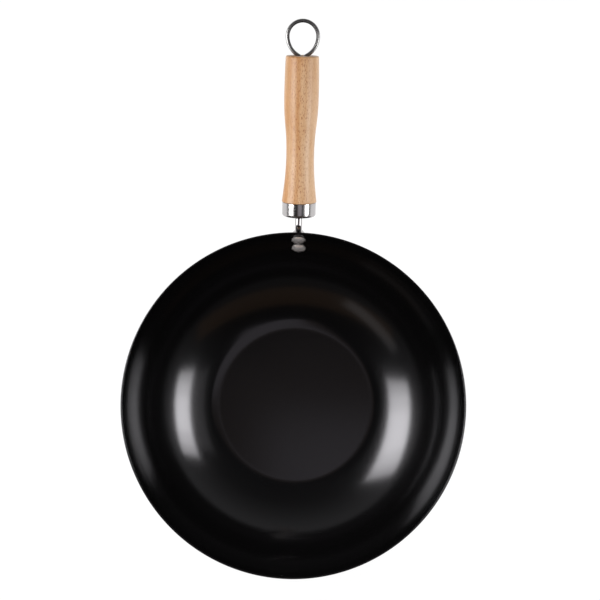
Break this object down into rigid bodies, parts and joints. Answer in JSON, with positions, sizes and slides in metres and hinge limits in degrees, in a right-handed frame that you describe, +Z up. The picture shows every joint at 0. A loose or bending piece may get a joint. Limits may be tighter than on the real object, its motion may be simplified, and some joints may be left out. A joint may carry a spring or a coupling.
{
  "type": "wok",
  "caption": "Flat-bottomed black wok with a riveted steel rod handle, turned wooden grip, steel ferrule and a threaded wire eye to hang it by.",
  "frame": {"origin": "centre of the flat underside of the bowl's base", "axes": "+Z up out of the bowl, +Y along the handle away from the bowl, +X to the right with the handle pointing away"},
  "size_m": [0.3, 0.4752, 0.1389],
  "materials": {
    "coated_steel": "glossy black cooking coat",
    "rivet_metal": "satin",
    "plated_steel": "polished plate",
    "beech": "turned beech, thin clear lacquer",
    "zinc_steel": "zinc plate"
  },
  "bodies": {
    "pan": {"bowl": "coated_steel", "upper_rivet": "rivet_metal", "lower_rivet": "rivet_metal", "handle_rod": "plated_steel", "ferrule": "plated_steel", "wooden_grip": "beech"},
    "washer": {"clamp_washer": "zinc_steel"},
    "eye": {"eye_sleeve": "zinc_steel", "hanging_loop": "plated_steel"}
  },
  "joints": [
    {"name": "eye_travel", "type": "slide", "parent": "pan", "child": "washer", "axis": [0, 0.9511, 0.309], "range_m": [0, 0.0065]},
    {"name": "eye_turn", "type": "hinge", "parent": "washer", "child": "eye", "pos_m": [0, 0.27813, 0.12008], "axis": [0, 0.9511, 0.309], "range_deg": [0, 2250]}
  ],
  "couplings": [
    {"joint": "eye_travel", "follows": "eye_turn", "m_per_rad": 0.00015915}
  ]
}
